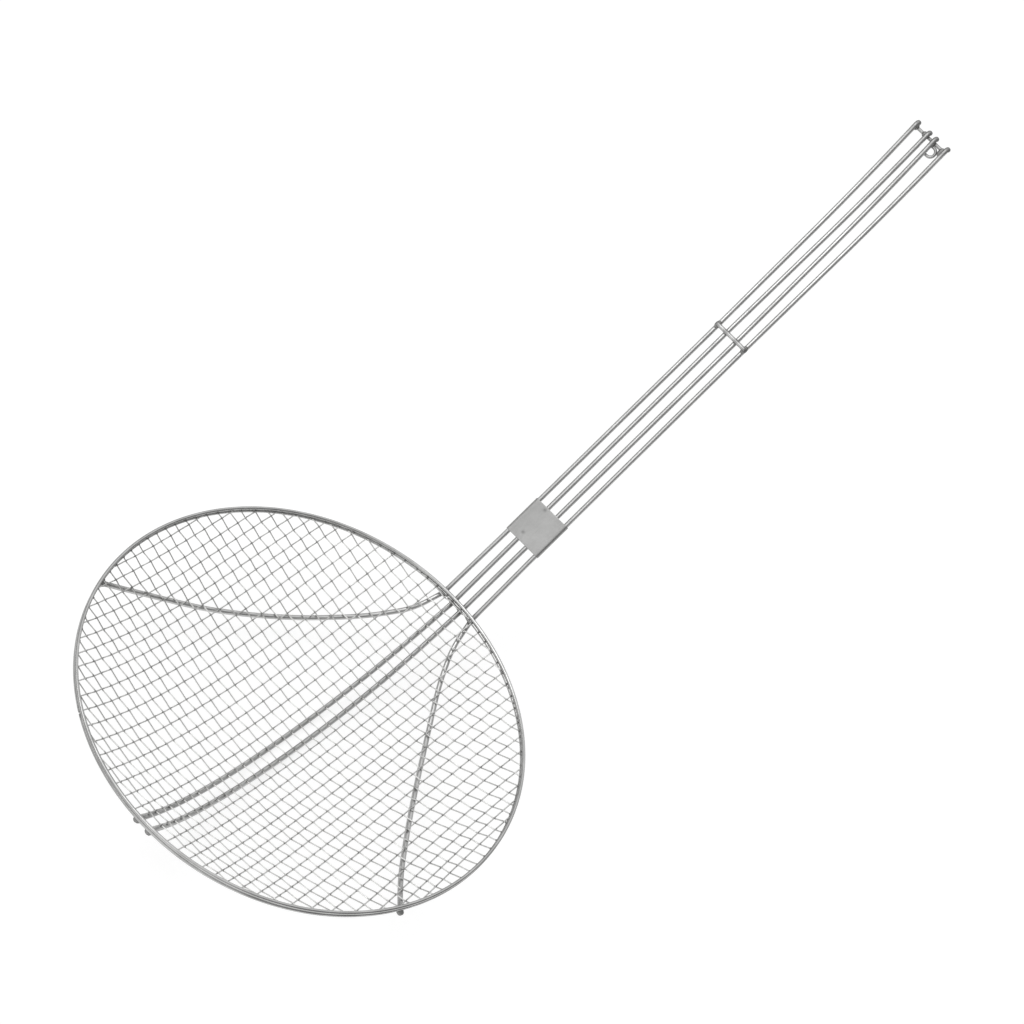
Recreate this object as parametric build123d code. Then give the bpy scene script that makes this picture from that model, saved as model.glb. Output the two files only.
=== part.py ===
from build123d import *
import os
from math import asin, atan, cos, degrees, hypot, radians, sin, sqrt, tan

# Spider skimmer. A dished bowl of square wire mesh hangs in a rim of two stacked wire rings.
# Four long wires run under the bowl as ribs, pass under the rim and rise side by side as the handle,
# which a folded plate, a crossbar and an end bar hold together. A small loop under the end hangs it up.
# Millimetres. The rim lies level, its centre is the origin, the handle rises towards +Y and +Z is up.

# Rim
rim_outer_radius = 152.4
rim_wire = 2.4
rim_ring_gap = 0.5
butt_gap = 1.6
butt_gap_direction = -119.3

# Mesh
dish_depth = 42.7
crown_share = 0.4
mesh_wire = 0.9
mesh_layer_clearance = 0.2
mesh_rim_clearance = 0.35
pitch_of_wires_along = 8.8
pitch_of_wires_across = 8.0
mesh_middle_x = 1.7
mesh_middle_y = -2.4
mesh_skew = 4.0
shortest_mesh_wire = 30.0

# Handle and rib wires
frame_wire = 3.5
rib_clearance = 0.4
weld_clearance = 0.05
rib_end_inset = 2.0
right_rib_overhang = 0.6
left_rib_end_angle = 20.6
right_rib_end_angle = 21.6
inner_rib_end_half_spacing = 5.0
inner_rib_bow = 2.4
rim_bend_radius = 12.0
rib_bend_run_share = 0.45
left_rib_shares = (
    (0.039, 0.106), (0.167, 0.238), (0.348, 0.401), (0.502, 0.539), (0.668, 0.689), (0.913, 0.908),
)
right_rib_shares = (
    (0.051, 0.106), (0.163, 0.222), (0.351, 0.386), (0.483, 0.509), (0.653, 0.673), (0.846, 0.864),
)
left_bow_shares = (0.12, 0.19, 0.25, 0.28, 0.29, 0.30, 0.35, 0.46, 0.58, 0.71, 0.79, 0.79, 0.58, 0)
right_bow_shares = (0.25, 0.50, 0.69, 0.81, 0.88, 0.90, 0.92, 0.94, 0.98, 1, 1, 0.95, 0.71, 0)

# Handle
handle_length = 459.0
handle_angle = 46.2
handle_offset = 4.4
handle_end_turn = 11.7
handle_end_bend_run = 48.0
handle_end_straight = 4.45
outer_half_spacing_at_rim = 13.8
outer_half_spacing_at_plate = 13.0
outer_half_spacing_at_crossbar = 12.7
outer_half_spacing_at_end = 13.8
inner_half_spacing_at_rim = 4.15
inner_half_spacing_at_plate = 4.3
inner_half_spacing_at_crossbar = 4.65
inner_half_spacing_at_end = 3.1
spacing_bend_radius = 1200.0
tip_leg = 1.0

# Plate, bars and loop
plate_place = 62.4
plate_length = 29.5
plate_thickness = 0.4
plate_clearance = 0.12
plate_wrap = 150.0
crossbar_place = 263.6
crossbar_wire = 3.0
crossbar_overhang = 0.2
end_bar_wire = 2.4
end_bar_overhang = 0.6
loop_wire = 2.2
loop_width = 7.0
loop_reach = 7.6
loop_leg_end = 1.5
loop_clearance = 0.1

# Derived sizes of the rim
ring_radius = rim_outer_radius - rim_wire / 2
ring_height = (rim_wire + rim_ring_gap) / 2

# Derived sizes of the dish: a crown arc, then an arc tangent to it that ends level with the rim
crown_radius = ring_radius ** 2 / (2 * dish_depth)
crown_half_width = crown_share * ring_radius
crown_slope = asin(crown_half_width / crown_radius)
crown_rise = crown_radius * (1 - cos(crown_slope))
skirt_run = ring_radius - crown_half_width
skirt_rise = dish_depth - crown_rise
skirt_radius = (skirt_run ** 2 + skirt_rise ** 2) / (
    2 * (skirt_rise * cos(crown_slope) - skirt_run * sin(crown_slope))
)
skirt_centre_run = crown_half_width - skirt_radius * sin(crown_slope)
skirt_centre_rise = crown_rise + skirt_radius * cos(crown_slope)
layer_height = (mesh_wire + mesh_layer_clearance) / 2
mesh_edge_radius = ring_radius - rim_wire / 2 - mesh_rim_clearance

# Derived sizes of the ribs
rib_drop_at_crown = layer_height + mesh_wire / 2 + rib_clearance + frame_wire / 2
rim_slope = atan(2 * dish_depth / ring_radius)
ring_to_rib = rim_wire / 2 + frame_wire / 2 + rib_clearance
rib_drop_at_rim = ring_height + ring_to_rib / cos(rim_slope)
rib_end_radius = rim_outer_radius - rib_end_inset
right_rib_end_radius = rim_outer_radius + right_rib_overhang

# Derived sizes of the handle
rim_turn = radians(handle_angle) - rim_slope
rim_bend_cut = rim_bend_radius * (1 / cos(rim_turn) - 1)
ring_to_bend = rim_wire / 2 + frame_wire / 2 + weld_clearance + rim_bend_cut
bend_direction = (radians(handle_angle) + rim_slope) / 2
handle_start_y = sqrt(ring_radius ** 2 - handle_offset ** 2) + ring_to_bend * sin(bend_direction)
handle_start_z = -ring_height - ring_to_bend * cos(bend_direction)
tip_radius = (end_bar_wire + frame_wire) / 2 + weld_clearance
tip_place = handle_length - frame_wire / 2
end_bar_place = tip_place - tip_radius
handle_end_angle = handle_angle + handle_end_turn
handle_end_bend_place = end_bar_place - handle_end_straight - handle_end_bend_run
handle_end_bend_radius = handle_end_bend_run / tan(radians(handle_end_turn) / 2)


def profile_rise(run):
    """Height of the dish over its lowest point, at this distance from the middle of a wire."""
    run = abs(run)
    if run <= crown_half_width:
        return crown_radius - sqrt(crown_radius ** 2 - run ** 2)
    return skirt_centre_rise - sqrt(skirt_radius ** 2 - (run - skirt_centre_run) ** 2)


def profile_run(length):
    """Level distance from the middle of the dish, after this length along its surface."""
    crown_length = crown_radius * crown_slope
    if abs(length) <= crown_length:
        return crown_radius * sin(length / crown_radius)
    slope = crown_slope + (abs(length) - crown_length) / skirt_radius
    run = skirt_centre_run + skirt_radius * sin(slope)
    return run if length > 0 else -run


def half_length(offset):
    """Half the level length of a mesh wire whose middle lies this far from the rim's centre."""
    edge = abs(offset) + mesh_wire / 2
    return sqrt(mesh_edge_radius ** 2 - edge ** 2) if edge < mesh_edge_radius else 0


def mesh_offsets(middle, pitch):
    """Where the wires of one direction lie: evenly spaced along the pressed surface."""
    offsets = []
    for side in (1, -1):
        count = 0 if side > 0 else 1
        while True:
            offset = middle + side * profile_run(count * pitch)
            if 2 * half_length(offset) < shortest_mesh_wire:
                break
            offsets.append(offset)
            count += 1
    return sorted(offsets)


def swept_wire(path, diameter):
    """A round wire along a path."""
    section = Plane(origin=path @ 0, z_dir=path % 0) * Circle(diameter / 2)
    return sweep(section, path=path)


def mesh_strand(offset, direction, height):
    """One mesh wire: tangent arcs in its own upright plane, cut where it meets the rim."""
    half = half_length(offset)
    base = profile_rise(offset) - dish_depth + height

    def at(run):
        return (run, profile_rise(run) + base)

    inner = min(half, crown_half_width)
    arcs = [ThreePointArc(at(-inner), at(0), at(inner))]
    if half > crown_half_width:
        middle = (half + crown_half_width) / 2
        arcs.insert(0, ThreePointArc(at(-half), at(-middle), at(-inner)))
        arcs.append(ThreePointArc(at(inner), at(middle), at(half)))
    along = Vector(cos(direction), sin(direction), 0)
    across = Vector(-sin(direction), cos(direction), 0)
    upright = Plane(origin=across * offset, x_dir=along, z_dir=across * -1)
    return swept_wire(upright * Wire(arcs), mesh_wire)


def mesh_wires(offsets, direction, height):
    """All mesh wires of one direction, as separate solids."""
    return Compound(children=[mesh_strand(offset, direction, height) for offset in offsets])


def upper_ring():
    """The closed upper ring of the rim."""
    return Pos(0, 0, ring_height) * Torus(ring_radius, rim_wire / 2)


def lower_ring():
    """The lower ring of the rim, whose two ends meet at a small butt gap."""
    open_angle = degrees(butt_gap / ring_radius)
    section = Plane.XZ * Pos(ring_radius, -ring_height) * Circle(rim_wire / 2)
    ring = revolve(section, axis=Axis.Z, revolution_arc=360 - open_angle)
    return Rot(0, 0, butt_gap_direction + open_angle / 2) * ring


def rib_height(x, y):
    """Height of a rib's middle line under the mesh, lower at the rim so that it clears the rings."""
    rise = dish_depth + rib_drop_at_crown - rib_drop_at_rim
    return -dish_depth - rib_drop_at_crown + rise * (hypot(x, y) / ring_radius) ** 2


def rib_point(x, y):
    """A point of a rib's middle line."""
    return Vector(x, y, rib_height(x, y))


def handle_plane(place, lift=0):
    """Plane square to the handle: X across it, Y out of its upper side, Z towards its end."""
    slope = handle_angle if place <= handle_end_bend_place else handle_end_angle
    along = Vector(0, cos(radians(slope)), sin(radians(slope)))
    upward = Vector(0, -sin(radians(slope)), cos(radians(slope)))
    straight = min(place, handle_end_bend_place)
    start = Vector(handle_offset, handle_start_y, handle_start_z)
    first = Vector(0, cos(radians(handle_angle)), sin(radians(handle_angle)))
    origin = start + first * straight + along * (place - straight) + upward * lift
    return Plane(origin=origin, x_dir=(-1, 0, 0), z_dir=along)


def handle_point(place, spacing, lift=0):
    """A point of the handle: distance from the rim, sideways place towards +X and lift."""
    return handle_plane(place, lift).from_local_coords((-spacing, 0, 0))


def spacing_between(place, first_place, first_spacing, last_place, last_spacing):
    """Sideways place of a handle wire, between its sideways places at two other places."""
    share = (place - first_place) / (last_place - first_place)
    return first_spacing + (last_spacing - first_spacing) * share


def handle_points(side, at_rim, at_plate, at_crossbar, at_end):
    """Corners of a handle wire's middle line, from its bent-over tip down to the rim."""
    at_bend = spacing_between(handle_end_bend_place, crossbar_place, at_crossbar, handle_length, at_end)
    return [
        handle_point(tip_place, side * at_end, -tip_radius - tip_leg),
        handle_point(tip_place, side * at_end),
        handle_point(handle_end_bend_place, side * at_bend),
        handle_point(crossbar_place, side * at_crossbar),
        handle_point(plate_place, side * at_plate),
        handle_point(0, side * at_rim),
    ]


def soft_radii(points):
    """Bend radii that turn nearly all of the path through these points into one smooth curve."""
    radii = []
    for before, corner, after in zip(points, points[1:], points[2:]):
        arriving = corner - before
        leaving = after - corner
        half_turn = radians(arriving.get_angle(leaving)) / 2
        shorter = min(arriving.length, leaving.length)
        radii.append(rib_bend_run_share * shorter / tan(half_turn))
    return radii


def frame_strand(handle, ribs):
    """One long wire: its handle stretch, the bend under the rim and its rib."""
    handle_radii = [
        tip_radius, handle_end_bend_radius, spacing_bend_radius, spacing_bend_radius, rim_bend_radius,
    ]
    radii = handle_radii + soft_radii([handle[-1]] + ribs)
    return swept_wire(FilletPolyline(handle + ribs, radius=radii), frame_wire)


def inner_wire(side, bow_shares):
    """An inner wire: its rib runs across under the bowl, a little bowed, to the far side of the rim."""
    handle = handle_points(
        side, inner_half_spacing_at_rim, inner_half_spacing_at_plate,
        inner_half_spacing_at_crossbar, inner_half_spacing_at_end,
    )
    base = handle[-1]
    end_x = handle_offset + side * inner_rib_end_half_spacing
    end_y = -sqrt(rib_end_radius ** 2 - end_x ** 2)
    ribs = []
    for step, bow_share in enumerate(bow_shares, start=1):
        share = step / len(bow_shares)
        bow = inner_rib_bow * bow_share
        ribs.append(rib_point(base.X + (end_x - base.X) * share + bow, base.Y + (end_y - base.Y) * share))
    return frame_strand(handle, ribs)


def outer_wire(side, shares, end_radius, end_angle):
    """An outer wire: its rib spreads out under the bowl to the side of the rim."""
    handle = handle_points(
        side, outer_half_spacing_at_rim, outer_half_spacing_at_plate,
        outer_half_spacing_at_crossbar, outer_half_spacing_at_end,
    )
    base = handle[-1]
    end_x = side * end_radius * cos(radians(end_angle))
    end_y = -end_radius * sin(radians(end_angle))
    ribs = [
        rib_point(base.X + (end_x - base.X) * out, base.Y + (end_y - base.Y) * along)
        for out, along in shares
    ]
    return frame_strand(handle, ribs + [rib_point(end_x, end_y)])


def handle_plate():
    """The bare plate on the handle: a thin sheet whose long edges fold round the outer wires."""
    spacing = spacing_between(
        plate_place + plate_length / 2,
        plate_place, outer_half_spacing_at_plate, crossbar_place, outer_half_spacing_at_crossbar,
    )
    inside = frame_wire / 2 + plate_clearance
    outside = inside + plate_thickness
    right_end = CenterArc((spacing, 0), outside, 90, -plate_wrap)
    right_return = CenterArc((spacing, 0), inside, 90 - plate_wrap, plate_wrap)
    left_end = CenterArc((-spacing, 0), inside, 90, plate_wrap)
    left_return = CenterArc((-spacing, 0), outside, 90 + plate_wrap, -plate_wrap)
    outline = Wire([
        Line(left_return @ 1, right_end @ 0),
        right_end,
        Line(right_end @ 1, right_return @ 0),
        right_return,
        Line(right_return @ 1, left_end @ 0),
        left_end,
        Line(left_end @ 1, left_return @ 0),
        left_return,
    ])
    return extrude(handle_plane(plate_place) * make_face(outline), plate_length)


def bar(place, lift, half, diameter):
    """A straight round bar across the handle."""
    path = Line(handle_point(place, -half, lift), handle_point(place, half, lift))
    return swept_wire(Wire([path]), diameter)


def crossbar():
    """The bar that lies on the four wires half way up the handle."""
    lift = (frame_wire + crossbar_wire) / 2 + weld_clearance
    half = outer_half_spacing_at_crossbar + crossbar_overhang
    return bar(crossbar_place, lift, half, crossbar_wire)


def end_bar():
    """The bar under the end of the handle, which the four tips bend over."""
    half = outer_half_spacing_at_end + end_bar_overhang
    return bar(end_bar_place, -tip_radius, half, end_bar_wire)


def hanging_loop():
    """The small loop under one inner wire, beside the end bar."""
    lift = -(frame_wire + loop_wire) / 2 - weld_clearance
    upper = end_bar_place - (end_bar_wire + loop_wire) / 2 - loop_clearance
    lower = upper - loop_width
    near = inner_half_spacing_at_end - loop_leg_end
    turn = inner_half_spacing_at_end + loop_reach - loop_wire / 2 - loop_width / 2
    top = handle_point((upper + lower) / 2, turn + loop_width / 2, lift)
    path = Wire([
        Line(handle_point(upper, near, lift), handle_point(upper, turn, lift)),
        ThreePointArc(handle_point(upper, turn, lift), top, handle_point(lower, turn, lift)),
        Line(handle_point(lower, turn, lift), handle_point(lower, near, lift)),
    ])
    return swept_wire(path, loop_wire)


def save(name, shape):
    """Write one sub-part under its name."""
    export_step(shape, os.path.join("parts", name + ".step"))


along_offsets = mesh_offsets(-mesh_middle_x, pitch_of_wires_along)
across_offsets = mesh_offsets(mesh_middle_y, pitch_of_wires_across)

os.makedirs("parts", exist_ok=True)
save("rim_upper_ring", upper_ring())
save("rim_lower_ring", lower_ring())
save("mesh_wires_along", mesh_wires(along_offsets, radians(90), layer_height))
save("mesh_wires_across", mesh_wires(across_offsets, radians(mesh_skew), -layer_height))
save("outer_wire_left", outer_wire(-1, left_rib_shares, rib_end_radius, left_rib_end_angle))
save("inner_wire_left", inner_wire(-1, left_bow_shares))
save("inner_wire_right", inner_wire(1, right_bow_shares))
save("outer_wire_right", outer_wire(1, right_rib_shares, right_rib_end_radius, right_rib_end_angle))
save("handle_plate", handle_plate())
save("handle_crossbar", crossbar())
save("handle_end_bar", end_bar())
save("hanging_loop", hanging_loop())
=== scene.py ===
import math
from functools import partial

import bpy
import numpy as np
from mathutils import Matrix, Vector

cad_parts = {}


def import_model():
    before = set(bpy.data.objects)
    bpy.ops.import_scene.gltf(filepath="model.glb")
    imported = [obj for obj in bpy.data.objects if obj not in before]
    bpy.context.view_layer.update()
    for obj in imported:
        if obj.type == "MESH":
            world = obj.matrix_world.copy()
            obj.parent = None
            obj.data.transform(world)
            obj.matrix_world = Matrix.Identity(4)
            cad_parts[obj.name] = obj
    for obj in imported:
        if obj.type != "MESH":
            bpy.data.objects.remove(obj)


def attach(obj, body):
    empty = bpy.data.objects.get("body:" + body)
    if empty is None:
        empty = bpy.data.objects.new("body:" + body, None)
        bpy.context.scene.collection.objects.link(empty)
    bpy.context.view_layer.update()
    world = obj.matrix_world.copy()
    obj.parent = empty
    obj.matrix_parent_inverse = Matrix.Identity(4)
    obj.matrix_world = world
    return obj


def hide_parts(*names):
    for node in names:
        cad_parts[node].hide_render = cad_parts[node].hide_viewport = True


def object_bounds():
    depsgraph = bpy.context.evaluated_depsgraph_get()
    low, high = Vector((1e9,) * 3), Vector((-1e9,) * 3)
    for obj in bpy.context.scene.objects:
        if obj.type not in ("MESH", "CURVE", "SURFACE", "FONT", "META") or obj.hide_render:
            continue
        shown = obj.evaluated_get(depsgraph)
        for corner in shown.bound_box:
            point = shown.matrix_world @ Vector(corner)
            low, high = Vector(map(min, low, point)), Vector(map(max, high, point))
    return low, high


# Spider skimmer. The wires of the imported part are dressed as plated, crimped and spot-welded wire.
# Lengths are in millimetres here and become metres when a mesh is made.

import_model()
cad_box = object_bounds()
random = np.random.default_rng(12)
MM = 0.001
UP = (0, 0, 1)

# Rim
RING_RADIUS = 151.2
RING_HEIGHT = 1.45
RIM_WIRE = 2.4
BUTT_GAP = 1.6
BUTT_DIRECTION = -119.3
# Where a painted dark reflection lies on the rim rings, and how far it spreads
PAINTED_REFLECTION_DIRECTION = -106.0
PAINTED_REFLECTION_SPREAD = 16.0

# Dish
DISH_DEPTH = 42.7
CROWN_SHARE = 0.4
MESH_WIRE = 0.9
MESH_END_RADIUS = 150.9
ALONG_CRIMP = 0.25
ACROSS_CRIMP = 0.65
WANDER = 0.12
WANDER_LENGTH = 23.0
KNOT_MARGIN = 1.5
LONG_RUN = 4.0
SEARCH_END = 160.0

# Frame wires
FRAME_WIRE = 3.5
RIB_SINK = 0.1
RIB_END_RADIUS = 150.4
RIGHT_RIB_END_RADIUS = 153.0
LEFT_RIB_END_ANGLE = 20.6
RIGHT_RIB_END_ANGLE = 21.6
INNER_RIB_END_HALF_SPACING = 5.0
INNER_RIB_BOW = 2.4
LEFT_BOW_SHARES = (0.12, 0.19, 0.25, 0.28, 0.29, 0.30, 0.35, 0.46, 0.58, 0.71, 0.79, 0.79, 0.58, 0)
RIGHT_BOW_SHARES = (0.25, 0.50, 0.69, 0.81, 0.88, 0.90, 0.92, 0.94, 0.98, 1, 1, 0.95, 0.71, 0)
LEFT_RIB_SHARES = (
    (0.039, 0.106), (0.167, 0.238), (0.348, 0.401), (0.502, 0.539), (0.668, 0.689), (0.913, 0.908),
)
RIGHT_RIB_SHARES = (
    (0.051, 0.106), (0.163, 0.222), (0.351, 0.386), (0.483, 0.509), (0.653, 0.673), (0.846, 0.864),
)

# Radius of each rib's end bead, and how far back from the end its middle lies
END_BEADS = {
    "outer_wire_left": (2.3, 0.6), "inner_wire_left": (2.8, 2.1),
    "inner_wire_right": (2.8, 2.1), "outer_wire_right": (2.3, 1.0),
}

# Handle
HANDLE_LENGTH = 459.0
HANDLE_ANGLE = 46.2
HANDLE_OFFSET = 4.4
HANDLE_END_TURN = 11.7
HANDLE_END_BEND_PLACE = 401.8
HANDLE_END_BEND_RADIUS = 468.5
SPACING_BEND_RADIUS = 1200.0
RIM_BEND_RADIUS = 12.0
OUTER_SPACING = (13.8, 13.0, 12.7, 13.8)
INNER_SPACING = (4.15, 4.3, 4.65, 3.1)
TIP_RADIUS = 3.0
TIP_LEG = 1.0
PLATE_PLACE = 62.4
PLATE_LENGTH = 29.5
PLATE_THICKNESS = 0.4
PLATE_CLEARANCE = 0.12
PLATE_WRAP = 150.0
PLATE_WELDS = ((89.6, -4.8), (68.3, -4.6))
CROSSBAR_PLACE = 263.6
CROSSBAR_WIRE = 3.0
CROSSBAR_OVERHANG = 0.2
END_BAR_WIRE = 2.4
END_BAR_OVERHANG = 0.6
LOOP_WIRE = 2.2
LOOP_WIDTH = 7.0
LOOP_REACH = 7.6
LOOP_LEG_END = 1.5
LOOP_CLEARANCE = 0.1
WELD_CLEARANCE = 0.05
SOFT_SHARE = 0.45

# How fine the meshes are
WIRE_SIDES = 16
LOOP_SIDES = 14
MESH_SIDES = 8
RING_STEPS = 360
BAR_STEPS = 61
LOOP_STEPS = 19
PATH_STEP = 2.0

# How far each end of a wire domes out, in radii, and the turns of a dome's rows
DOME_ANGLES = (22.0, 45.0, 66.0, 84.0)
MESH_DOMES = (0.5, 0.5)
BUTT_DOMES = (0.25, 0.25)
FRAME_DOMES = (0.5, 0.4)
BAR_DOMES = (0.4, 0.4)
LOOP_DOMES = (0.5, 0.5)

# Weld beads: rows, sides and lumpiness of a bead, then half sizes along, across and upward
SMALL_BEAD = (6, 10, 0.10)
SMOOTH_BEAD = (8, 14, 0.06)
LUMPY_BEAD = (10, 16, 0.09)
END_BEAD = (10, 16, 0.05)
RIM_BEAD_SIZE = (1.0, 0.7, 0.8)
RIM_BEAD_SCALES = (0.85, 1.2)
RIM_BEAD_INSET = 0.7
RIB_BEAD_SIZE = (0.95, 0.72, 0.55)
RIB_BEAD_SCALES = (0.8, 1.25)
RIB_BEADS_WITHIN = 149.0
RIB_BEADS_LEFT_OUT = 0.35
END_BEAD_SHAPE = (1.0, 1.0, 0.92)
BASE_BEAD_SIZE = (2.1, 1.7, 1.3)
INSIDE_BEAD_SIZE = (4.2, 1.5, 1.1)
INSIDE_BEAD_SHIFT = (0, -2.2, 1.2)
OUTER_BAR_BEAD_SIZE = (3.2, 2.1, 1.4)
INNER_BAR_BEAD_SIZE = (2.0, 1.4, 1.0)
LOOP_BEAD_SIZE = (1.6, 1.5, 0.9)

# Each weld of the end bar: its sideways place, how far along the handle from the bar, and its size
END_BAR_BEADS = (
    (1.0 - OUTER_SPACING[3], 0.0, (2.6, 2.0, 1.3)),
    (-1.4 - INNER_SPACING[3], 0.0, (2.2, 2.4, 1.2)),
    (INNER_SPACING[3] + 0.3, 0.0, (2.2, 2.0, 1.1)),
    (OUTER_SPACING[3] - 1.9, -1.6, (3.6, 2.2, 1.2)),
)

# Dark marks of the welds, with painted contact shade at the tips, rib ends and mesh crossings, a painted dark
# reflection on the rim and painted shade on the bars and loop: how strong, and how far they reach
BASE_MARK = (0.8, 5.0)
TIP_WELD_AND_SHADE_MARK = (0.9, 6.0)
RIB_END_WELD_AND_SHADE_MARK = (0.9, 5.0)
BAR_MARK = (0.6, 2.2)
PLATE_MARK = (0.8, 1.2)
CROSSING_WELD_AND_SHADE_REACH = 1.6
PAINTED_REFLECTION_STRENGTH = 0.55
DULL_BUTT = 0.7
CROSSBAR_PAINTED_SHADE = 0.15
END_BAR_PAINTED_SHADE = 0.5
LOOP_PAINTED_SHADE = 0.6

# Plate
PLATE_ROWS = 61
PLATE_COLUMNS = 53
PLATE_FOLD_STEPS = 13
PLATE_SKEW = 0.018
PLATE_DIP = 0.12
PLATE_DIP_REACH = 2.4
PLATE_EDGE = 0.12

# Studio, in metres
FLOOR_HALF = 6.0
FLOOR_GAP = 0.0005
FLOOR_GREY = 0.34
FLOOR_GLOW = 0.76

# Camera: the photo's size and the fitted focal length, both in pixels
PHOTO_SIZE = 1024.0
FOCAL_LENGTH = 2200.0
SENSOR_WIDTH = 36.0

# Places of the woven wires at the middle of the dish, and how each family bows over it
ALONG_PLACES = (
    -144.9, -137.8, -129.9, -122.3, -114.6, -106.7, -99.4, -91.5, -82.5, -74.0, -64.6, -54.4,
    -45.8, -35.9, -26.6, -17.7, -8.1, 0.9, 9.6, 17.9, 26.1, 34.0, 42.6, 50.7, 58.4, 66.5, 75.1,
    83.4, 92.6, 101.8, 110.5, 120.1, 128.5, 135.6, 142.0,
)
ALONG_BOW = (
    (-1.45, -2.37, -4.50, -2.85), (2.85, 3.27, 2.34, -1.47), (1.34, -1.39, 10.52, 3.63),
)
ACROSS_PLACES = (
    -139.3, -132.9, -126.1, -119.1, -112.2, -104.7, -97.7, -89.9, -81.8, -73.8, -66.2, -58.4,
    -50.6, -42.4, -34.6, -26.9, -18.8, -10.9, -2.8, 5.7, 13.7, 21.8, 30.0, 38.3, 46.2, 54.2,
    61.9, 69.6, 77.1, 84.8, 92.1, 99.5, 106.8, 113.9, 121.2, 128.1, 134.8, 141.4, 148.8,
)
ACROSS_BOW = (
    (8.08, -3.81, 0.59, 1.41), (7.25, -4.08, 1.31, 6.72),
    (4.01, 4.17, -1.65, -7.71), (-6.25, 7.27, -14.29, -12.83),
)
BOW_LENGTH = 150.0
WIRES_ON_RIBS = (17, 18)

# The dish: a crown arc, then an arc tangent to it that ends level with the rim
CROWN_RADIUS = RING_RADIUS ** 2 / (2 * DISH_DEPTH)
CROWN_HALF = CROWN_SHARE * RING_RADIUS
CROWN_SLOPE = math.asin(CROWN_HALF / CROWN_RADIUS)
CROWN_RISE = CROWN_RADIUS * (1 - math.cos(CROWN_SLOPE))
SKIRT_RUN = RING_RADIUS - CROWN_HALF
SKIRT_RISE = DISH_DEPTH - CROWN_RISE
SKIRT_RADIUS = (SKIRT_RUN ** 2 + SKIRT_RISE ** 2) / (
    2 * (SKIRT_RISE * math.cos(CROWN_SLOPE) - SKIRT_RUN * math.sin(CROWN_SLOPE))
)
SKIRT_CENTRE_RUN = CROWN_HALF - SKIRT_RADIUS * math.sin(CROWN_SLOPE)
SKIRT_CENTRE_RISE = CROWN_RISE + SKIRT_RADIUS * math.cos(CROWN_SLOPE)


def unit(vector):
    """The vector at length one."""
    vector = np.asarray(vector, float)
    return vector / np.linalg.norm(vector)


def dish_rise(run):
    """Height of the dish's profile over its lowest point."""
    run = np.abs(np.asarray(run, float))
    crown = CROWN_RADIUS - np.sqrt(np.maximum(CROWN_RADIUS ** 2 - run ** 2, 0))
    skirt = SKIRT_CENTRE_RISE - np.sqrt(np.maximum(SKIRT_RADIUS ** 2 - (run - SKIRT_CENTRE_RUN) ** 2, 0))
    return np.where(run <= CROWN_HALF, crown, skirt)


def dish_height(x, y):
    """Height of the woven sheet's middle surface, which meets the rim between its two rings."""
    radius = np.hypot(x, y) + 1e-6
    scale = RING_RADIUS / radius
    over = dish_rise(x * scale) + dish_rise(y * scale) - DISH_DEPTH
    return dish_rise(x) + dish_rise(y) - DISH_DEPTH - over * (radius / RING_RADIUS) ** 4


def bowed(place, run, bow):
    """Sideways place of a woven wire at this distance along it."""
    share = place / BOW_LENGTH
    along = run / BOW_LENGTH
    result = place
    for power, row in enumerate(bow, start=1):
        result = result + sum(value * share ** n for n, value in enumerate(row)) * along ** power
    return result


def wire_end(line, side):
    """Distance along a woven wire at which it meets the rim."""
    low, high = 0.0, side * SEARCH_END
    for _ in range(40):
        middle = (low + high) / 2
        if math.hypot(middle, line(middle)) < MESH_END_RADIUS:
            low = middle
        else:
            high = middle
    return low


def crossing(along_line, across_line):
    """Where a wire of each family cross, seen from above."""
    x, y = along_line(0), across_line(0)
    for _ in range(30):
        x = along_line(y)
        y = across_line(x)
    return x, y


def zigzag(share):
    """A crimp that goes from 1 to -1 over a share of 0 to 1, in nearly straight runs."""
    return (np.cos(np.pi * share) + np.cos(3 * np.pi * share) / 9) / (1 + 1 / 9)


def woven_wire(line, others, sign, crimp, swap):
    """Points of one crimped wire and how near each is to a crossing."""
    start, end = wire_end(line, -1), wire_end(line, 1)
    knots = [start]
    levels = [0.0]
    for number, other in enumerate(others):
        x, y = crossing(other, line) if swap else crossing(line, other)
        run = x if swap else y
        if start + KNOT_MARGIN < run < end - KNOT_MARGIN:
            knots.append(run)
            levels.append(sign if number % 2 == 0 else -sign)
    knots.append(end)
    levels.append(0.0)
    runs, lifts, marks = [], [], []
    phase = random.uniform(0, 2 * np.pi)
    for first, last, level, following in zip(knots, knots[1:], levels, levels[1:]):
        steps = 8 if last - first > LONG_RUN else 4
        for share in np.arange(steps) / steps:
            runs.append(first + (last - first) * share)
            lifts.append((level + following) / 2 + (level - following) / 2 * float(zigzag(share)))
            # Dark mark near each crossing: weld discolouring and painted contact shade where one wire lies over
            # the other.
            near = min(share * abs(level), (1 - share) * abs(following)) if level and following else 0.5
            marks.append(max(0.0, 1 - near * (last - first) / CROSSING_WELD_AND_SHADE_REACH))
    runs.append(end)
    lifts.append(0.0)
    marks.append(1.0)
    runs = np.array(runs)
    side = line(runs) + WANDER * np.sin(runs / WANDER_LENGTH + phase)
    x, y = (runs, side) if swap else (side, runs)
    z = dish_height(x, y) + crimp * np.array(lifts)
    return np.stack([x, y, z], 1), np.array(marks)


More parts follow.
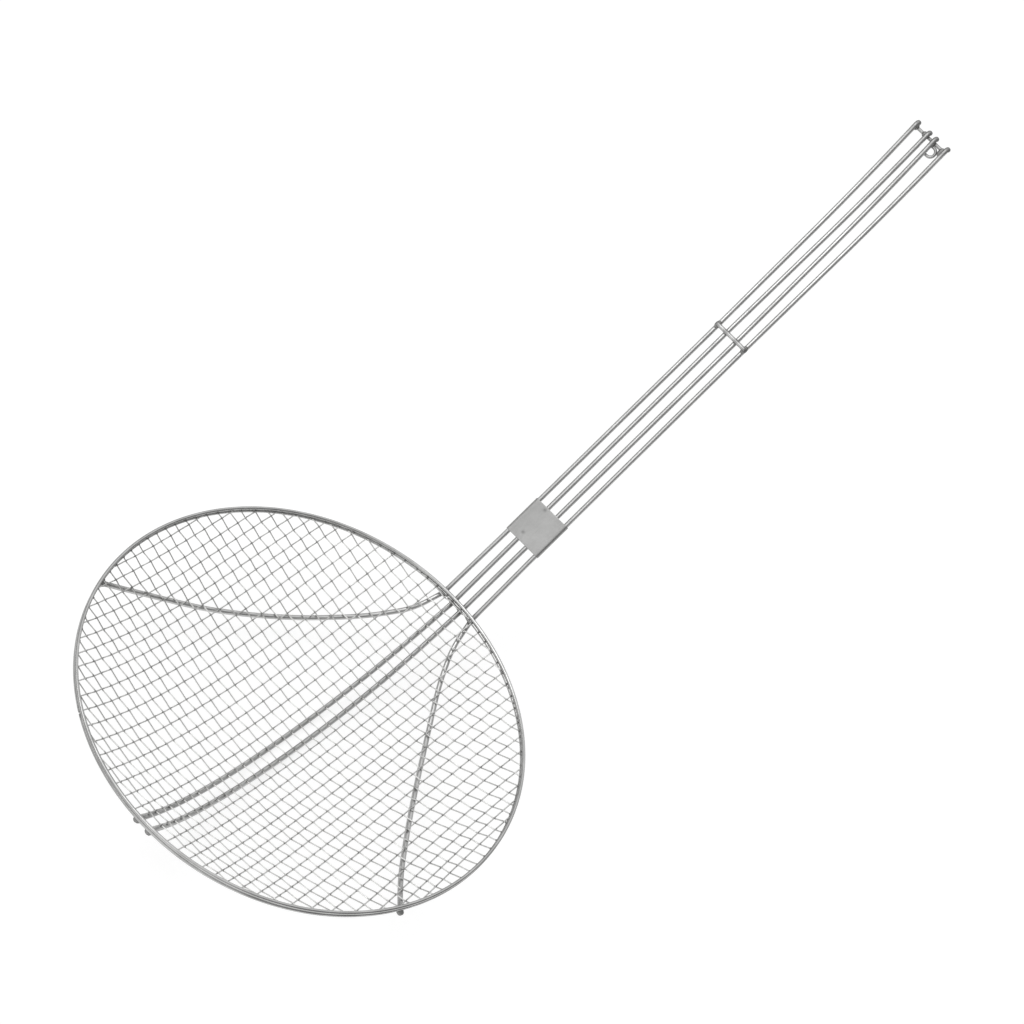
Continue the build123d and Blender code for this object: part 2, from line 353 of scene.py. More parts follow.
def rounded(points, radii, step):
    """Points along straight runs whose corners are rounded by tangent arcs."""
    points = [np.asarray(point, float) for point in points]
    out = [points[0]]

    def run_to(target):
        length = np.linalg.norm(target - out[-1])
        count = max(1, math.ceil(length / step))
        begin = out[-1]
        out.extend(begin + (target - begin) * n / count for n in range(1, count + 1))

    for before, corner, after, radius in zip(points, points[1:], points[2:], radii):
        back, ahead = unit(before - corner), unit(after - corner)
        half = math.acos(max(-1.0, min(1.0, float(-back @ ahead)))) / 2
        if half < 1e-5:
            run_to(corner)
            continue
        tangent = radius * math.tan(half)
        run_to(corner + back * tangent)
        centre = corner + unit(back + ahead) * radius / math.cos(half)
        arm = out[-1] - centre
        goal = corner + ahead * tangent - centre
        count = max(2, math.ceil(2 * half * radius / step), math.ceil(math.degrees(2 * half) / 10))
        for n in range(1, count + 1):
            angle = 2 * half * n / count
            swept = arm * math.sin(2 * half - angle) + goal * math.sin(angle)
            out.append(centre + swept / math.sin(2 * half))
    run_to(points[-1])
    return np.array(out)


def tube(points, radius, sides, marks, domes=None, start_turn=None):
    """A round wire: vertices, faces, and each vertex's mark of weld and painted shade, and its place. Without
    domes it's a ring.
    """
    points = np.asarray(points, float)
    radii = np.full(len(points), radius)
    closed = domes is None
    if not closed:
        angles = np.radians(DOME_ANGLES)
        for dome in domes[::-1]:
            caps = points[-1] + np.outer(np.sin(angles), unit(points[-1] - points[-2])) * radius * dome
            points = np.vstack([points, caps])[::-1]
            radii = np.concatenate([radii, radius * np.cos(angles)])[::-1]
            marks = np.concatenate([marks, np.full(len(angles), marks[-1])])[::-1]
    count = len(points)
    if closed:
        ahead = np.roll(points, -1, 0) - np.roll(points, 1, 0)
    else:
        ahead = np.gradient(points, axis=0)
    ahead /= np.linalg.norm(ahead, axis=1)[:, None]
    normal = unit(np.cross(ahead[0], UP) if start_turn is None else start_turn)
    normals = []
    for direction in ahead:
        normal = unit(normal - direction * (normal @ direction))
        normals.append(normal)
    normals = np.array(normals)
    binormals = np.cross(ahead, normals)
    angles = np.arange(sides) * 2 * np.pi / sides
    cosines, sines = np.cos(angles), np.sin(angles)
    ring = cosines[None, :, None] * normals[:, None, :] + sines[None, :, None] * binormals[:, None, :]
    vertices = (points[:, None, :] + ring * radii[:, None, None]).reshape(-1, 3)
    rows = count if closed else count - 1
    first = np.arange(rows)[:, None] * sides
    second = (np.arange(1, rows + 1) % count)[:, None] * sides
    here = np.arange(sides)[None, :]
    there = (here + 1) % sides
    quads = np.stack([first + here, first + there, second + there, second + here], 2).reshape(-1, 4)
    faces = quads.tolist()
    if not closed:
        faces.append(list(range(sides))[::-1])
        faces.append([(count - 1) * sides + n for n in range(sides)])
    travelled = np.concatenate([[0], np.cumsum(np.linalg.norm(np.diff(points, axis=0), axis=1))])
    place = np.stack([np.repeat(travelled, sides), np.tile(cosines, count), np.tile(sines, count)], 1)
    return vertices, faces, np.repeat(marks, sides), place


def bead(centre, along, up, size, fineness):
    """A weld bead: a lumpy ellipsoid with its long axis along the wire."""
    rows, sides, rough = fineness
    along = unit(along)
    across = unit(np.cross(up, along))
    upward = np.cross(along, across)
    vertices = [np.array(centre) + upward * size[2]]
    for row in range(1, rows):
        polar = np.pi * row / rows
        for n in range(sides):
            turn = 2 * np.pi * n / sides
            scale = 1 + random.uniform(-rough, rough)
            vertices.append(
                np.array(centre) + scale * (
                    along * size[0] * np.sin(polar) * np.cos(turn)
                    + across * size[1] * np.sin(polar) * np.sin(turn)
                    + upward * size[2] * np.cos(polar)
                )
            )
    vertices.append(np.array(centre) - upward * size[2])
    faces = []
    last = 1 + (rows - 2) * sides
    for n in range(sides):
        faces.append([0, 1 + n, 1 + (n + 1) % sides])
        faces.append([len(vertices) - 1, last + (n + 1) % sides, last + n])
    for row in range(rows - 2):
        for n in range(sides):
            a, b = 1 + row * sides + n, 1 + row * sides + (n + 1) % sides
            faces.append([a, a + sides, b + sides, b])
    vertices = np.array(vertices)
    return vertices, faces, np.ones(len(vertices)), vertices


def make_piece(name, parts, material, nodes=()):
    """One object from several meshes, riding on the part's body."""
    vertices, faces, marks, places, base = [], [], [], [], 0
    for part_vertices, part_faces, part_marks, part_places in parts:
        vertices.append(part_vertices)
        faces.extend([[base + index for index in face] for face in part_faces])
        marks.append(part_marks)
        places.append(part_places + np.array([random.uniform(0, 900), 0, 0]))
        base += len(part_vertices)
    mesh = bpy.data.meshes.new(name)
    mesh.from_pydata((np.vstack(vertices) * MM).tolist(), [], faces)
    mark = mesh.attributes.new("weld_and_painted_shade", "FLOAT", "POINT")
    mark.data.foreach_set("value", np.concatenate(marks).astype(np.float32))
    place = mesh.attributes.new("wire_place", "FLOAT_VECTOR", "POINT")
    place.data.foreach_set("vector", np.vstack(places).astype(np.float32).ravel())
    mesh.validate()
    mesh.materials.append(material)
    mesh.shade_smooth()
    piece = bpy.data.objects.new(name, mesh)
    bpy.context.scene.collection.objects.link(piece)
    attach(piece, "root")
    if nodes:
        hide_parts(*nodes)
    return piece


def dress(name, part, material):
    """The piece that stands for one node of the part."""
    return make_piece(name + "_dressed", [part], material, [name])


def node(tree, kind, **values):
    """A shader node with its properties and inputs set."""
    made = tree.nodes.new(kind)
    for key, value in values.items():
        if key in made.inputs.keys():
            made.inputs[key].default_value = value
        else:
            setattr(made, key, value)
    return made


def ramp(tree, source, low, high, out_low, out_high):
    """A value mapped from one range to another."""
    mapped = node(tree, "ShaderNodeMapRange")
    tree.links.new(source, mapped.inputs["Value"])
    for key, value in (("From Min", low), ("From Max", high), ("To Min", out_low), ("To Max", out_high)):
        mapped.inputs[key].default_value = value
    return mapped.outputs["Result"]


def mixed(tree, share, first, second):
    """Two colours mixed by a value."""
    mix = node(tree, "ShaderNodeMix", data_type="RGBA")
    tree.links.new(share, mix.inputs["Factor"])
    for value, socket in ((first, mix.inputs[6]), (second, mix.inputs[7])):
        if isinstance(value, tuple):
            socket.default_value = (*value, 1.0)
        else:
            tree.links.new(value, socket)
    return mix.outputs[2]


def maths(tree, operation, first, second, **values):
    """Two values joined by an operation."""
    made = node(tree, "ShaderNodeMath", operation=operation, **values)
    for value, socket in ((first, made.inputs[0]), (second, made.inputs[1])):
        if isinstance(value, float):
            socket.default_value = value
        else:
            tree.links.new(value, socket)
    return made.outputs[0]


def plated_metal(name, bright, dimmer, weld, roughness, edge_tint, streak, bump):
    """Nickel plating over drawn wire: streaks along it, cloudy plating, and the weld colour wherever the mark
    attribute is set, which holds welds, painted contact shade, a painted dark reflection and painted shade.
    """
    material = bpy.data.materials.new(name)
    material.use_nodes = True
    tree = material.node_tree
    shader = tree.nodes["Principled BSDF"]
    place = node(tree, "ShaderNodeAttribute", attribute_name="wire_place")
    stretch = node(tree, "ShaderNodeMapping")
    stretch.inputs["Scale"].default_value = (0.06, 5.0, 5.0)
    tree.links.new(place.outputs["Vector"], stretch.inputs["Vector"])
    drawn = node(tree, "ShaderNodeTexNoise", Scale=streak, Detail=3.0)
    tree.links.new(stretch.outputs["Vector"], drawn.inputs["Vector"])
    spot = node(tree, "ShaderNodeTexCoord")
    cloud = node(tree, "ShaderNodeTexNoise", Scale=70.0, Detail=4.0, Roughness=0.6)
    tree.links.new(spot.outputs["Object"], cloud.inputs["Vector"])
    grain = node(tree, "ShaderNodeTexNoise", Scale=1800.0, Detail=2.0)
    tree.links.new(spot.outputs["Object"], grain.inputs["Vector"])
    plating = mixed(tree, ramp(tree, cloud.outputs["Fac"], 0.35, 0.65, 0.0, 1.0), bright, dimmer)
    marked = mixed(tree, ramp(tree, drawn.outputs["Fac"], 0.5, 0.8, 0.0, 0.2), plating, weld)
    # The mark holds welds together with painted shade and a painted dark reflection; the weld colour paints
    # them all.
    mark = node(tree, "ShaderNodeAttribute", attribute_name="weld_and_painted_shade")
    spread = maths(tree, "MULTIPLY", mark.outputs["Fac"], ramp(tree, grain.outputs["Fac"], 0.3, 0.7, 0.55, 1.0))
    tree.links.new(mixed(tree, spread, marked, weld), shader.inputs["Base Color"])
    cloudy = ramp(tree, cloud.outputs["Fac"], 0.3, 0.7, roughness - 0.05, roughness + 0.06)
    scorched = ramp(tree, mark.outputs["Fac"], 0.0, 1.0, 0.0, 0.16)
    tree.links.new(maths(tree, "ADD", cloudy, scorched), shader.inputs["Roughness"])
    height = node(tree, "ShaderNodeBump", Strength=bump, Distance=0.0002)
    tree.links.new(drawn.outputs["Fac"], height.inputs["Height"])
    tree.links.new(height.outputs["Normal"], shader.inputs["Normal"])
    shader.inputs["Metallic"].default_value = 1.0
    shader.inputs["Specular Tint"].default_value = (edge_tint, edge_tint, edge_tint, 1.0)
    return material


rim_metal = plated_metal(
    "rim_plating", (0.62, 0.62, 0.615), (0.50, 0.50, 0.495), (0.15, 0.15, 0.148),
    roughness=0.2, edge_tint=0.4, streak=1.0, bump=0.05,
)
mesh_metal = plated_metal(
    "mesh_plating", (0.80, 0.80, 0.79), (0.64, 0.64, 0.63), (0.26, 0.26, 0.255),
    roughness=0.36, edge_tint=0.55, streak=1.0, bump=0.04,
)
frame_metal = plated_metal(
    "frame_plating", (0.67, 0.67, 0.665), (0.57, 0.57, 0.565), (0.18, 0.18, 0.178),
    roughness=0.33, edge_tint=0.35, streak=1.0, bump=0.04,
)
weld_metal = plated_metal(
    "weld_plating", (0.44, 0.44, 0.435), (0.36, 0.36, 0.355), (0.28, 0.28, 0.275),
    roughness=0.36, edge_tint=0.4, streak=1.0, bump=0.15,
)
sheet_metal = plated_metal(
    "plate_sheet_metal", (0.45, 0.45, 0.445), (0.405, 0.405, 0.4), (0.2, 0.2, 0.2),
    roughness=0.42, edge_tint=0.5, streak=2.0, bump=0.2,
)


# Mesh
def woven_lines(ribs):
    """Sideways place of every woven wire as a function of the distance along it."""
    along = [partial(bowed, place, bow=ALONG_BOW) for place in ALONG_PLACES]
    across = [partial(bowed, place, bow=ACROSS_BOW) for place in ACROSS_PLACES]
    for number, rib in zip(WIRES_ON_RIBS, ribs):
        under = rib[rib[:, 1] < RING_RADIUS][::-1]
        along[number] = partial(np.interp, xp=under[:, 1], fp=under[:, 0])
    return along, across


def weave(ribs):
    """The two families of crimped wires, and their weld beads at the rim."""
    along_lines, across_lines = woven_lines(ribs)
    families, ends = [], []
    for name, lines, others, sign, crimp, swap, turn in (
        ("mesh_wires_along", along_lines, across_lines, 1, ALONG_CRIMP, False, (1, 0, 0)),
        ("mesh_wires_across", across_lines, along_lines, -1, ACROSS_CRIMP, True, (0, 1, 0)),
    ):
        parts = []
        for number, line in enumerate(lines):
            points, marks = woven_wire(line, others, sign if number % 2 == 0 else -sign, crimp, swap)
            parts.append(tube(points, MESH_WIRE / 2, MESH_SIDES, marks, MESH_DOMES, turn))
            ends += [(points[0], points[1]), (points[-1], points[-2])]
        families.append((name, parts))
    for name, parts in families:
        make_piece(name + "_woven", parts, mesh_metal, [name])
    beads = []
    for end, inner in ends:
        direction = unit(end - inner)
        size = np.array(RIM_BEAD_SIZE) * random.uniform(*RIM_BEAD_SCALES)
        beads.append(bead(end - direction * RIM_BEAD_INSET, direction, UP, size, SMALL_BEAD))
    make_piece("rim_weld_beads", beads, weld_metal)


# Rim
def painted_rim_reflection(angles):
    """How dark a ring is painted by a dark reflection: darkest by the ends of the inner ribs."""
    off = np.angle(np.exp(1j * (angles - math.radians(PAINTED_REFLECTION_DIRECTION))))
    return PAINTED_REFLECTION_STRENGTH * np.exp(-(off / math.radians(PAINTED_REFLECTION_SPREAD)) ** 2)


def ring_path(angles, height):
    """Points of a level ring of the rim."""
    return np.stack([
        RING_RADIUS * np.cos(angles), RING_RADIUS * np.sin(angles), np.full(len(angles), height)
    ], 1)


def rim():
    """The closed upper ring and the lower ring with its butt gap."""
    angles = np.arange(RING_STEPS) * 2 * np.pi / RING_STEPS
    # Both rings carry the painted dark reflection as their mark; the lower ring's butt ends are darker welds.
    upper = tube(ring_path(angles, RING_HEIGHT), RIM_WIRE / 2, WIRE_SIDES, painted_rim_reflection(angles))
    dress("rim_upper_ring", upper, rim_metal)
    half = BUTT_GAP / RING_RADIUS / 2
    begin = math.radians(BUTT_DIRECTION)
    angles = np.linspace(begin + half, begin + 2 * np.pi - half, RING_STEPS)
    marks = painted_rim_reflection(angles)
    marks[:2] = marks[-2:] = DULL_BUTT
    lower = tube(ring_path(angles, -RING_HEIGHT), RIM_WIRE / 2, WIRE_SIDES, marks, BUTT_DOMES)
    dress("rim_lower_ring", lower, rim_metal)


# Handle frame
RIM_SLOPE = math.atan(2 * DISH_DEPTH / RING_RADIUS)
RIM_TURN = math.radians(HANDLE_ANGLE) - RIM_SLOPE
RING_TO_BEND = RIM_WIRE / 2 + FRAME_WIRE / 2 + WELD_CLEARANCE + RIM_BEND_RADIUS * (1 / math.cos(RIM_TURN) - 1)
BEND_DIRECTION = (math.radians(HANDLE_ANGLE) + RIM_SLOPE) / 2
HANDLE_START = np.array([
    HANDLE_OFFSET,
    math.sqrt(RING_RADIUS ** 2 - HANDLE_OFFSET ** 2) + RING_TO_BEND * math.sin(BEND_DIRECTION),
    -RING_HEIGHT - RING_TO_BEND * math.cos(BEND_DIRECTION),
])
RIB_DROP_AT_CROWN = (ALONG_CRIMP + ACROSS_CRIMP + MESH_WIRE + FRAME_WIRE) / 2 - RIB_SINK
RIB_DROP_AT_RIM = RING_HEIGHT + (RIM_WIRE / 2 + FRAME_WIRE / 2 - RIB_SINK) / math.cos(RIM_SLOPE)


def handle_axes(place):
    """Directions along the handle and out of its upper side."""
    slope = HANDLE_ANGLE if place <= HANDLE_END_BEND_PLACE else HANDLE_ANGLE + HANDLE_END_TURN
    slope = math.radians(slope)
    return np.array([0, math.cos(slope), math.sin(slope)]), np.array([0, -math.sin(slope), math.cos(slope)])


def handle_point(place, spacing, lift=0.0):
    """A point of the handle: distance from the rim, sideways place towards +X and lift."""
    straight = min(place, HANDLE_END_BEND_PLACE)
    along, upward = handle_axes(place)
    point = HANDLE_START + handle_axes(0)[0] * straight + along * (place - straight) + upward * lift
    return point + np.array([spacing, 0, 0])


def spacing_at(place, spacing):
    """Sideways place of a handle wire between the rim, the crossbar and the end."""
    return float(np.interp(place, (0, PLATE_PLACE, CROSSBAR_PLACE, HANDLE_LENGTH), spacing))


def rib_point(x, y):
    """A point of a rib's middle line under the woven sheet."""
    rise = DISH_DEPTH + RIB_DROP_AT_CROWN - RIB_DROP_AT_RIM
    return np.array([x, y, -DISH_DEPTH - RIB_DROP_AT_CROWN + rise * (math.hypot(x, y) / RING_RADIUS) ** 2])


def soft_radii(points):
    """Bend radii that turn nearly all of the path through these points into one smooth curve."""
    radii = []
    for before, corner, after in zip(points, points[1:], points[2:]):
        arriving, leaving = corner - before, after - corner
        half = math.acos(min(1.0, float(unit(arriving) @ unit(leaving)))) / 2
        shorter = min(np.linalg.norm(arriving), np.linalg.norm(leaving))
        radii.append(SOFT_SHARE * shorter / math.tan(half))
    return radii


def frame_path(side, spacing, ribs):
    """The middle line of a long wire, from its tip to the end of its rib."""
    tip_place = HANDLE_LENGTH - FRAME_WIRE / 2
    handle = [
        handle_point(tip_place, side * spacing[3], -TIP_RADIUS - TIP_LEG),
        handle_point(tip_place, side * spacing[3]),
        handle_point(HANDLE_END_BEND_PLACE, side * spacing_at(HANDLE_END_BEND_PLACE, spacing)),
        handle_point(CROSSBAR_PLACE, side * spacing[2]),
        handle_point(PLATE_PLACE, side * spacing[1]),
        handle_point(0, side * spacing[0]),
    ]
    radii = [TIP_RADIUS, HANDLE_END_BEND_RADIUS, SPACING_BEND_RADIUS, SPACING_BEND_RADIUS, RIM_BEND_RADIUS]
    return rounded(handle + ribs, radii + soft_radii([handle[-1]] + ribs), PATH_STEP), handle[-1]


def inner_ribs(side, bow_shares):
    """Corners of an inner rib, which runs across under the bowl with a little bow."""
    base = handle_point(0, side * INNER_SPACING[0])
    end_x = HANDLE_OFFSET + side * INNER_RIB_END_HALF_SPACING
    end_y = -math.sqrt(RIB_END_RADIUS ** 2 - end_x ** 2)
    corners = []
    for step, bow_share in enumerate(bow_shares, start=1):
        share = step / len(bow_shares)
        x = base[0] + (end_x - base[0]) * share + INNER_RIB_BOW * bow_share
        corners.append(rib_point(x, base[1] + (end_y - base[1]) * share))
    return corners


def outer_ribs(side, table, end_radius, end_angle):
    """Corners of an outer rib, which spreads out to the side of the rim."""
    base = handle_point(0, side * OUTER_SPACING[0])
    end_x = side * end_radius * math.cos(math.radians(end_angle))
    end_y = -end_radius * math.sin(math.radians(end_angle))
    corners = [rib_point(base[0] + (end_x - base[0]) * a, base[1] + (end_y - base[1]) * b) for a, b in table]
    return corners + [rib_point(end_x, end_y)]


def rib_beads(path, end_size, end_inset):
    """Weld beads where a rib crosses the woven wires, and the lump at its end under the rim."""
    inside = path[np.hypot(path[:, 0], path[:, 1]) < RIB_BEADS_WITHIN]
    crossings = []
    for places, bow, run, side, direction in (
        (ALONG_PLACES, ALONG_BOW, inside[:, 1], inside[:, 0], (0, 1, 0)),
        (ACROSS_PLACES, ACROSS_BOW, inside[:, 0], inside[:, 1], (1, 0, 0)),
    ):
        for place in places:
            off = side - bowed(place, run, bow)
            for n in np.nonzero(off[:-1] * off[1:] < 0)[0]:
                share = off[n] / (off[n] - off[n + 1])
                crossings.append((inside[n] + (inside[n + 1] - inside[n]) * share, direction))
    lift = np.array([0, 0, FRAME_WIRE / 2 + WELD_CLEARANCE])
    beads = []
    for point, direction in crossings:
        if random.uniform() >= RIB_BEADS_LEFT_OUT:
            size = np.array(RIB_BEAD_SIZE) * random.uniform(*RIB_BEAD_SCALES)
            beads.append(bead(point + lift, direction, UP, size, SMALL_BEAD))
    direction = unit(path[-1] - path[-3])
    size = np.array(END_BEAD_SHAPE) * end_size
    beads.append(bead(path[-1] - direction * end_inset, direction, UP, size, END_BEAD))
    return beads


def handle_frame():
    """The four long wires and their welds."""
    left_rib = outer_ribs(-1, LEFT_RIB_SHARES, RIB_END_RADIUS, LEFT_RIB_END_ANGLE)
    right_rib = outer_ribs(1, RIGHT_RIB_SHARES, RIGHT_RIB_END_RADIUS, RIGHT_RIB_END_ANGLE)
    beads = []
    for name, side, spacing, ribs in (
        ("outer_wire_left", -1, OUTER_SPACING, left_rib),
        ("inner_wire_left", -1, INNER_SPACING, inner_ribs(-1, LEFT_BOW_SHARES)),
        ("inner_wire_right", 1, INNER_SPACING, inner_ribs(1, RIGHT_BOW_SHARES)),
        ("outer_wire_right", 1, OUTER_SPACING, right_rib),
    ):
        path, base = frame_path(side, spacing, ribs)
        marks = np.zeros(len(path))
        # Dark marks: a weld at the base; at the tip and at the rib's end, weld discolouring with painted
        # contact shade.
        for point, (mark, reach) in ((base, BASE_MARK), (path[0], TIP_WELD_AND_SHADE_MARK), (path[-1], RIB_END_WELD_AND_SHADE_MARK)):
            marks += mark * np.exp(-(np.linalg.norm(path - point, axis=1) / reach) ** 2)
        wire = tube(path, FRAME_WIRE / 2, WIRE_SIDES, marks, FRAME_DOMES, (1, 0, 0))
        dress(name, wire, frame_metal)
        beads += rib_beads(path, *END_BEADS[name])
        angle = math.atan2(base[1], base[0])
        touch = (base + ring_path(np.array([angle]), -RING_HEIGHT)[0]) / 2
        tangent = (-math.sin(angle), math.cos(angle), 0)
        beads.append(bead(touch, tangent, UP, BASE_BEAD_SIZE, SMOOTH_BEAD))
        beads.append(bead(touch + np.array(INSIDE_BEAD_SHIFT), tangent, UP, INSIDE_BEAD_SIZE, LUMPY_BEAD))
    make_piece("frame_weld_beads", beads, weld_metal)


# Plate
def handle_plate():
    """The thin bare sheet whose long edges fold round the outer wires."""
    inside = FRAME_WIRE / 2 + PLATE_CLEARANCE
    arc = np.radians(np.linspace(0, PLATE_WRAP, PLATE_FOLD_STEPS))
    mark, reach = PLATE_MARK
    vertices, places, marks = [], [], []
    for row in range(PLATE_ROWS):
        share = row / (PLATE_ROWS - 1)
        place = PLATE_PLACE + PLATE_LENGTH * share
        spacing = spacing_at(place, OUTER_SPACING)
        section = []
        for radius, order in ((inside + PLATE_THICKNESS, 1), (inside, -1)):
            left = [(-spacing - radius * math.sin(a), radius * math.cos(a)) for a in arc[::-1]]
            flat = [(x, radius) for x in np.linspace(-spacing, spacing, PLATE_COLUMNS)[1:-1]]
            right = [(spacing + radius * math.sin(a), radius * math.cos(a)) for a in arc]
            section += (left + flat + right)[::order]
        for x, lift in section:
            swell = math.cos(math.pi * x / (PLATE_DIP_REACH * spacing))
            dip = PLATE_DIP * math.sin(math.pi * share) * swell if lift > 0 else 0
            vertices.append(handle_point(place + PLATE_SKEW * x, x, lift - dip))
            places.append((place, x * 0.5, lift * 0.5))
            near = min(math.hypot(place - at, x - side) for at, side in PLATE_WELDS)
            marks.append(mark * math.exp(-(near / reach) ** 2))
    count = len(section)
    faces = []
    for row in range(PLATE_ROWS - 1):
        for n in range(count):
            a, b = row * count + n, row * count + (n + 1) % count
            faces.append([a, b, b + count, a + count])
    for row, order in ((0, 1), (PLATE_ROWS - 1, -1)):
        for n in range(count // 2 - 1):
            a, b = row * count + n, row * count + n + 1
            c, d = row * count + count - 2 - n, row * count + count - 1 - n
            faces.append([a, d, c, b] if order > 0 else [a, b, c, d])
    part = (np.array(vertices), faces, np.array(marks), np.array(places, float))
    bevel = dress("handle_plate", part, sheet_metal).modifiers.new("soft_edges", "BEVEL")
    bevel.width = PLATE_EDGE * MM
    bevel.segments = 2
    bevel.limit_method = "ANGLE"
    bevel.angle_limit = math.radians(50)


# Bars and loop
def wire_sides(number):
    """Sideways places of the four long wires at one of the measured spacings."""
    outer, inner = OUTER_SPACING[number], INNER_SPACING[number]
    return -outer, -inner, inner, outer


def bar(name, place, lift, wire, number, overhang, dimmer):
    """A bar across the handle, dark where it's welded to the long wires, with an even painted shade all along.
    """
    half = OUTER_SPACING[number] + overhang
    sides = np.linspace(-half, half, BAR_STEPS)
    line = [handle_point(place, x, lift) for x in sides]
    # Every point of the bar starts at its painted shade.
    marks = np.full(len(sides), dimmer)
    mark, reach = BAR_MARK
    for x in wire_sides(number):
        marks += mark * np.exp(-((sides - x) / reach) ** 2)
    dressed = tube(line, wire / 2, WIRE_SIDES, np.minimum(marks, 1.0), BAR_DOMES)
    dress(name, dressed, frame_metal)


def bars():
    """The crossbar, the end bar and the hanging loop, with their welds."""
    beads = []
    lift = (FRAME_WIRE + CROSSBAR_WIRE) / 2 + WELD_CLEARANCE
    bar("handle_crossbar", CROSSBAR_PLACE, lift, CROSSBAR_WIRE, 2, CROSSBAR_OVERHANG, CROSSBAR_PAINTED_SHADE)
    axes = handle_axes(CROSSBAR_PLACE)
    sizes = (OUTER_BAR_BEAD_SIZE, INNER_BAR_BEAD_SIZE, INNER_BAR_BEAD_SIZE, OUTER_BAR_BEAD_SIZE)
    for x, size in zip(wire_sides(2), sizes):
        beads.append(bead(handle_point(CROSSBAR_PLACE, x, lift / 2), *axes, size, SMOOTH_BEAD))
    bar_place = HANDLE_LENGTH - FRAME_WIRE / 2 - TIP_RADIUS
    bar("handle_end_bar", bar_place, -TIP_RADIUS, END_BAR_WIRE, 3, END_BAR_OVERHANG, END_BAR_PAINTED_SHADE)
    axes = handle_axes(bar_place)
    for x, run, size in END_BAR_BEADS:
        beads.append(bead(handle_point(bar_place + run, x, -TIP_RADIUS / 2), *axes, size, SMOOTH_BEAD))
    upper = bar_place - (END_BAR_WIRE + LOOP_WIRE) / 2 - LOOP_CLEARANCE
    lower = upper - LOOP_WIDTH
    near = INNER_SPACING[3] - LOOP_LEG_END
    turn = INNER_SPACING[3] + LOOP_REACH - LOOP_WIRE / 2 - LOOP_WIDTH / 2
    lift = -(FRAME_WIRE + LOOP_WIRE) / 2 - WELD_CLEARANCE
    path = [handle_point(upper, near, lift)]
    for angle in np.linspace(np.pi / 2, -np.pi / 2, LOOP_STEPS):
        run = (upper + lower) / 2 + LOOP_WIDTH / 2 * math.sin(angle)
        path.append(handle_point(run, turn + LOOP_WIDTH / 2 * math.cos(angle), lift))
    path.append(handle_point(lower, near, lift))
    # The loop carries an even painted shade all over.
    loop = tube(path, LOOP_WIRE / 2, LOOP_SIDES, np.full(len(path), LOOP_PAINTED_SHADE), LOOP_DOMES)
    dress("hanging_loop", loop, frame_metal)
    for place in (upper, lower):
        centre = handle_point(place, INNER_SPACING[3], lift / 2)
        beads.append(bead(centre, *axes, LOOP_BEAD_SIZE, SMOOTH_BEAD))
    make_piece("handle_weld_beads", beads, weld_metal)


inner_paths = [
    frame_path(side, INNER_SPACING, inner_ribs(side, shares))[0]
    for side, shares in ((-1, LEFT_BOW_SHARES), (1, RIGHT_BOW_SHARES))
]
weave(inner_paths)
rim()
handle_frame()
handle_plate()
bars()


# Floor
def floor():
    """A plain white floor under the bowl, which keeps a soft shadow."""
    level = cad_box[0].z - FLOOR_GAP
    corners = [(x * FLOOR_HALF, y * FLOOR_HALF, level) for x, y in ((-1, -1), (1, -1), (1, 1), (-1, 1))]
    mesh = bpy.data.meshes.new("floor")
    mesh.from_pydata(corners, [], [(0, 1, 2, 3)])
    plane = bpy.data.objects.new("floor", mesh)
    bpy.context.scene.collection.objects.link(plane)
    material = bpy.data.materials.new("floor_white")
    material.use_nodes = True
    tree = material.node_tree
    shader = tree.nodes["Principled BSDF"]
    shader.inputs["Base Color"].default_value = (FLOOR_GREY, FLOOR_GREY, FLOOR_GREY, 1.0)
    shader.inputs["Roughness"].default_value = 0.9
    shader.inputs["Specular IOR Level"].default_value = 0.0
    rays = node(tree, "ShaderNodeLightPath").outputs
    seen = maths(tree, "ADD", rays["Is Camera Ray"], rays["Is Glossy Ray"], use_clamp=True)
    seen = maths(tree, "ADD", seen, rays["Is Transmission Ray"], use_clamp=True)
    shader.inputs["Emission Color"].default_value = (1.0, 1.0, 1.0, 1.0)
    tree.links.new(maths(tree, "MULTIPLY", seen, FLOOR_GLOW), shader.inputs["Emission Strength"])
    mesh.materials.append(material)


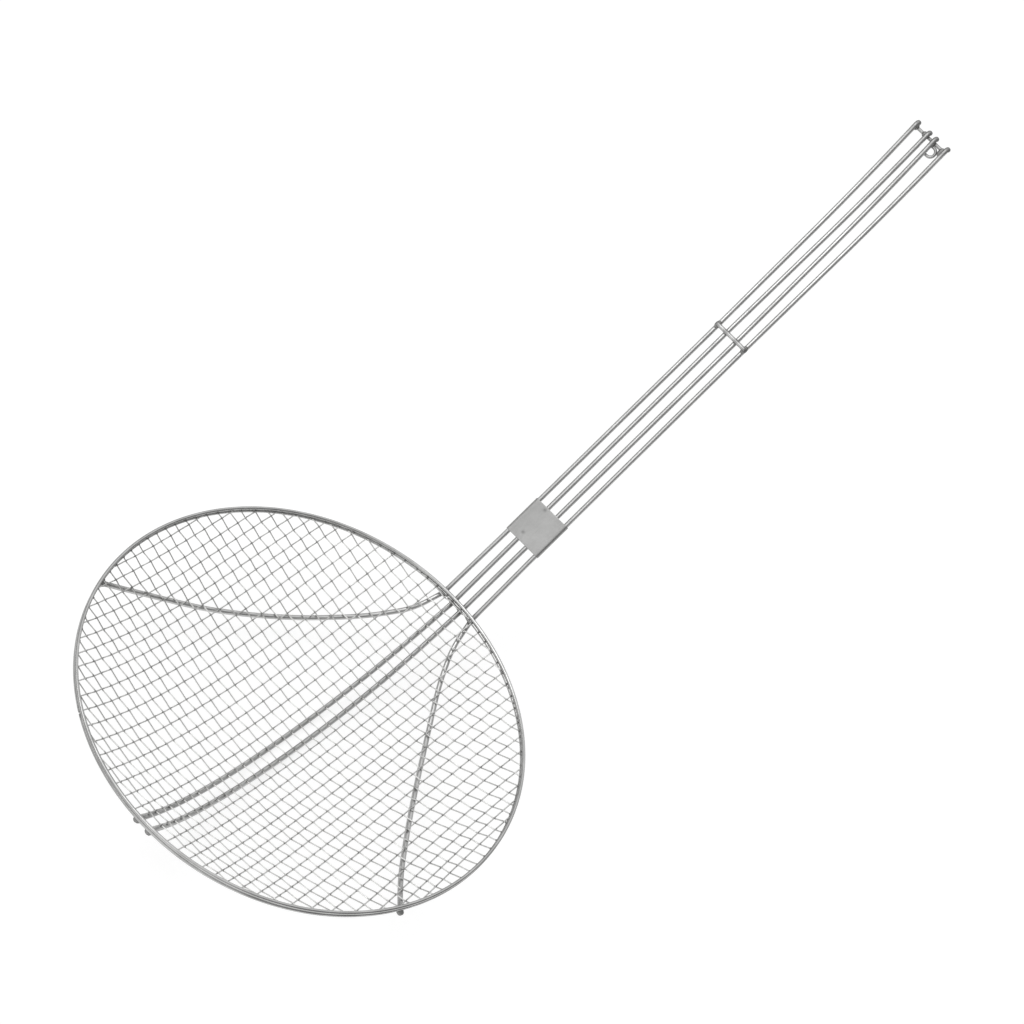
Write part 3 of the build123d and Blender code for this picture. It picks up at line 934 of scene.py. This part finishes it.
# World and lamp
def world():
    """A plain white studio, darker to the sides and darkest on the right."""
    made = bpy.data.worlds.new("studio")
    bpy.context.scene.world = made
    made.use_nodes = True
    tree = made.node_tree
    background = tree.nodes["Background"]
    where = node(tree, "ShaderNodeTexCoord")
    parts = node(tree, "ShaderNodeSeparateXYZ")
    tree.links.new(where.outputs["Generated"], parts.inputs[0])
    right = ramp(tree, parts.outputs["X"], 0.05, 0.65, 0.92, 0.24)
    left = ramp(tree, parts.outputs["X"], -0.9, -0.4, 0.45, 1.0)
    side = maths(tree, "MULTIPLY", right, left)
    rays = node(tree, "ShaderNodeLightPath").outputs
    shade = maths(tree, "MAXIMUM", rays["Is Camera Ray"], side)
    tree.links.new(shade, background.inputs["Strength"])
    background.inputs["Color"].default_value = (1.0, 1.0, 1.0, 1.0)


def turned(right, up, back, place):
    """The matrix of a lamp or camera that looks away from its back direction."""
    return Matrix((*zip(right, up, back, place), (0, 0, 0, 1)))


def panel(name, place, target, size, energy):
    """A square soft light aimed at a point."""
    light = bpy.data.lights.new(name, "AREA")
    light.shape = "SQUARE"
    light.size = size
    light.energy = energy
    lamp = bpy.data.objects.new(name, light)
    bpy.context.scene.collection.objects.link(lamp)
    back = unit(np.array(place) - np.array(target))
    right = unit(np.cross(UP, back))
    lamp.matrix_world = turned(right, np.cross(back, right), back, place)


floor()
world()
panel("panel_left", (-0.8, -0.4, 1.7), (0, 0.1, 0), 1.2, 9.0)


# Camera, at the photo's viewing angle
def camera():
    """The camera that was fitted to the rim, the mesh and the handle."""
    data = bpy.data.cameras.new("camera")
    data.sensor_width = SENSOR_WIDTH
    data.lens = FOCAL_LENGTH / PHOTO_SIZE * SENSOR_WIDTH
    data.clip_end = 50.0
    eye = bpy.data.objects.new("camera", data)
    bpy.context.scene.collection.objects.link(eye)
    eye.matrix_world = turned(
        right=(0.68577, 0.598095, 0.414731), up=(-0.702946, 0.396585, 0.590413),
        back=(0.188647, -0.696421, 0.692395), place=(0.27030, -0.85348, 1.09871),
    )
    bpy.context.scene.camera = eye


camera()
bpy.context.scene.view_settings.view_transform = "Standard"
